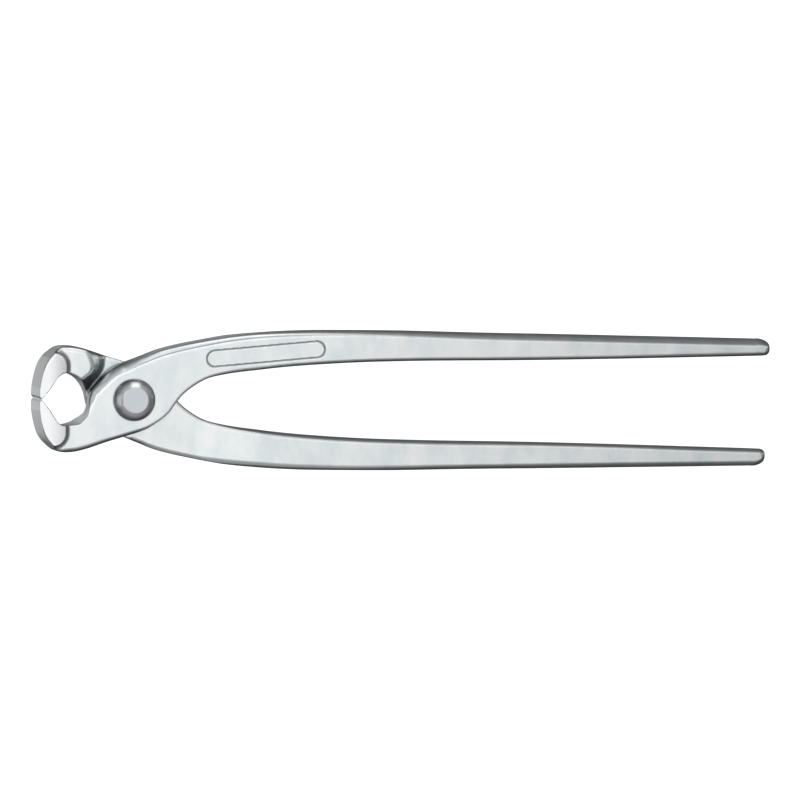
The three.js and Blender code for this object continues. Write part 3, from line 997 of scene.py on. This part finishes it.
def forged_shades(graph, plate, where):
    """The plate's colour on a half: ground pads, painted shade, and the painted shade line along
    the front bevel.
    """
    plate = graph.mix("MIX", graph.layer("ground"), plate, (*ground_colour, 1))
    plate = graph.mix("MULTIPLY", graph.layer("dark"), plate, (*painted_shade_colour, 1))
    off = graph.calculate("ADD", graph.layer("rim"), rim_line_inset)
    near = graph.spread(graph.calculate("ABSOLUTE", off), *rim_line_range)
    line = graph.calculate("MULTIPLY", near, graph.layer("line"))
    return graph.mix("MULTIPLY", line, plate, (*painted_line_shade, 1))


def rivet_shades(graph, plate, where):
    """The plate's colour on the rivet: painted shade under the rims."""
    return graph.mix("MULTIPLY", rim_mask(graph, where), plate, (*painted_shade_colour, 1))


def zinc(name, colour, roughness, mottle, grain, pits, shades, dull=None):
    """Bright zinc plate: faint tints, fine grain and small pits. What dull gives is where the plate
    is darker and rougher, and how far its colour and roughness change there. In the panel's groove
    the darker colour is painted shade as well as duller plate."""
    material, graph, shader = new_material(name)
    shader.inputs["Metallic"].default_value = 1.0
    where = graph.add("ShaderNodeTexCoord", {}).outputs["Object"]

    stretched = graph.add("ShaderNodeMapping", {
        "Vector": where, "Scale": cloud_stretch, "Rotation": (0, 0, math.radians(cloud_turn)),
    })
    cloud = graph.add("ShaderNodeTexNoise", {
        "Vector": stretched.outputs["Vector"], "Scale": cloud_scale, "Detail": cloud_detail,
        "Roughness": cloud_roughness,
    })
    cool = [c * (1 - mottle * k) for c, k in zip(colour, cloud_cooling)]
    tints = zip(cloud_range, (cool, colour))
    plate_colour = shades(graph, graph.ramp(cloud.outputs["Fac"], list(tints)), where)
    fine = graph.add("ShaderNodeTexNoise", {
        "Vector": where, "Scale": grain_scale, "Detail": grain_detail,
    }).outputs["Fac"]
    low, high = (roughness + change for change in grain_roughness)
    plate_roughness = graph.spread(fine, 0, 1, low, high)
    if dull:
        mask, darker, rougher = dull[0](graph, where), *dull[1:]
        plate_colour = graph.mix("MULTIPLY", mask, plate_colour, (*darker, 1))
        plate_roughness = graph.calculate("MULTIPLY_ADD", mask, rougher, plate_roughness)
    graph.links.new(plate_colour, shader.inputs["Base Color"])
    graph.links.new(plate_roughness, shader.inputs["Roughness"])

    spots = graph.add("ShaderNodeTexVoronoi", {"Vector": where, "Scale": pit_scale})
    pit_bump = graph.add("ShaderNodeBump", {
        "Height": graph.spread(spots.outputs["Distance"], *pit_range), "Strength": pits,
        "Distance": pit_depth,
    })
    bump = graph.add("ShaderNodeBump", {
        "Height": fine, "Strength": grain, "Distance": grain_depth,
        "Normal": pit_bump.outputs["Normal"],
    })
    graph.links.new(bump.outputs["Normal"], shader.inputs["Normal"])
    return material


forged = zinc(
    "forged_zinc", (0.86, 0.87, 0.865), roughness=0.3, mottle=0.2, grain=0.25, pits=0.2,
    shades=forged_shades, dull=(groove_mask, groove_dull_plate_and_shade, groove_roughness),
)
rough_forged = zinc(
    "rough_forged_zinc", (0.86, 0.87, 0.865), roughness=0.32, mottle=0.22, grain=0.35, pits=0.35,
    shades=forged_shades,
)
rivet_metal = zinc(
    "rivet_zinc", (0.7, 0.71, 0.72), roughness=0.24, mottle=0.05, grain=0.15, pits=0.1,
    shades=rivet_shades, dull=(flat_mask, flat_shade, flat_roughness),
)
make_forging("front_forging", "front_half", "front", forged, is_front=True)
make_forging("rear_forging", "rear_half", "rear", rough_forged, is_front=False)
make_rivet(rivet_metal)

# Floor, camera and lights, in metres. The sensor is in millimetres, the photograph in pixels.
floor_size = 3.0
floor_height = -0.0002
floor_grey = 0.7
floor_glow = 0.85
camera_direction = (-0.2076, 0.0523, 0.9768)
camera_aim = (0.09185, 0.00009)
camera_distance = 9.0
camera_roll = 0.92
sensor_width = 36
photo_width = 800
metres_per_pixel = 0.0003342
clip_end = 40


def make_floor():
    """White paper that glows a little, so that it is as even as in the photograph."""
    mesh = bpy.data.meshes.new("floor")
    corners = [(-1, -1), (1, -1), (1, 1), (-1, 1)]
    places = [(floor_size * x, floor_size * y, floor_height) for x, y in corners]
    mesh.from_pydata(places, [], [(0, 1, 2, 3)])
    floor = bpy.data.objects.new("floor", mesh)
    bpy.context.scene.collection.objects.link(floor)
    material, _, shader = new_material("floor_paper")
    shader.inputs["Base Color"].default_value = (floor_grey, floor_grey, floor_grey, 1)
    shader.inputs["Roughness"].default_value = 1.0
    shader.inputs["Specular IOR Level"].default_value = 0.0
    shader.inputs["Emission Color"].default_value = (1, 1, 1, 1)
    shader.inputs["Emission Strength"].default_value = floor_glow
    mesh.materials.append(material)
    floor.visible_glossy = False
    floor.visible_shadow = False


def make_camera():
    """A long lens from the photograph's direction, a little rolled."""
    away = Vector(camera_direction).normalized()
    aim = Vector((*camera_aim, rivet_top * MM))
    data = bpy.data.cameras.new("camera")
    data.sensor_width = sensor_width
    data.lens = data.sensor_width * camera_distance / (photo_width * metres_per_pixel)
    data.clip_end = clip_end
    camera = bpy.data.objects.new("camera", data)
    bpy.context.scene.collection.objects.link(camera)
    right = Vector((0, 1, 0)).cross(away).normalized()
    right.rotate(Quaternion(away, math.radians(camera_roll)))
    up = away.cross(right)
    turn = Matrix((right, up, away)).transposed()
    camera.matrix_world = Matrix.Translation(aim + away * camera_distance) @ turn.to_4x4()
    bpy.context.scene.camera = camera


def make_light(name, place, target, size, power):
    data = bpy.data.lights.new(name, "AREA")
    data.shape = "RECTANGLE"
    data.size, data.size_y = size
    data.energy = power
    light = bpy.data.objects.new(name, data)
    bpy.context.scene.collection.objects.link(light)
    light.location = place
    light.rotation_euler = (Vector(target) - Vector(place)).to_track_quat("-Z", "Y").to_euler()


def make_world():
    """A dim room: lighter overhead and beyond the upper handle, darker in front of the lower one,
    with something grey on the left and low down on the right."""
    world = bpy.data.worlds.new("room")
    graph = Graph(world)
    where = graph.add("ShaderNodeTexCoord", {}).outputs["Generated"]
    direction = graph.split(where)

    def ramp(axis, *stops):
        """Grey by one axis of the direction: stops are pairs of a place and a grey."""
        greys = [((place + 1) / 2, (grey, grey, grey)) for place, grey in stops]
        return graph.ramp(graph.spread(direction[axis], -1, 1), greys)

    def combine(kind, a, b):
        return graph.mix(kind, 1, a, b)

    height = ramp("Z", (-1, 0.05), (-0.44, 0.08), (0.1, 0.3), (0.53, 0.5), (0.8, 0.74), (1, 0.74))
    side = ramp("Y", (-1, 0.85), (-0.5, 0.65), (-0.1, 0.5), (0.25, 0.75), (0.55, 1))
    below_inner = combine(
        "LIGHTEN", ramp("Z", (-0.35, 0.55), (-0.05, 1)), ramp("Y", (-0.6, 0), (-0.3, 1)),
    )
    left_corner = combine(
        "MULTIPLY", ramp("X", (0, 0.5), (0.14, 0.5), (0.2, 0)), ramp("Y", (0.06, 0), (0.14, 1)),
    )
    left_low = combine(
        "MULTIPLY", ramp("Z", (-1, 0.66), (-0.85, 0.55), (-0.6, 0.05), (-0.4, 0)),
        combine("LIGHTEN", ramp("X", (-0.2, 1), (-0.13, 0.85), (-0.04, 0)), left_corner),
    )
    left_wall_sides = combine(
        "MULTIPLY", ramp("X", (-0.8, 1), (-0.3, 0)),
        ramp("Y", (-0.5, 0), (-0.3, 1), (0.15, 1), (0.35, 0)),
    )
    left_wall = combine(
        "MULTIPLY", ramp("Z", (-0.3, 0), (0.0, 0.55), (0.45, 0.55), (0.7, 0)), left_wall_sides,
    )
    right_low_sides = combine(
        "MULTIPLY", ramp("Y", (0, 0), (0.12, 1)), ramp("Z", (-0.5, 1), (-0.12, 1), (0.05, 0)),
    )
    right_low = combine("MULTIPLY", ramp("X", (0.84, 0), (0.92, 1)), right_low_sides)
    room = combine("MULTIPLY", combine("MULTIPLY", height, side), below_inner)
    for part in (left_low, left_wall, right_low):
        room = combine("ADD", room, part)
    graph.links.new(room, graph.nodes["Background"].inputs["Color"])
    bpy.context.scene.world = world


make_floor()
make_camera()
make_world()
make_light("overhead", (-0.155, 0.0, 0.9), (-0.155, 0.0, 0.0), (1.04, 0.9), 1.85)
make_light("outer_strip", (-0.155, 0.36, 0.88), (-0.155, 0.36, 0.0), (1.04, 0.4), 0.4)
make_light("inner_strip", (-0.155, -0.4, 0.88), (-0.155, -0.4, 0.0), (1.04, 0.4), 0.4)
make_light("outer_box", (0.055, 0.3, 0.13), (0.0, 0.0, 0.01), (0.18, 0.24), 0.15)
bpy.context.scene.view_settings.view_transform = "Standard"
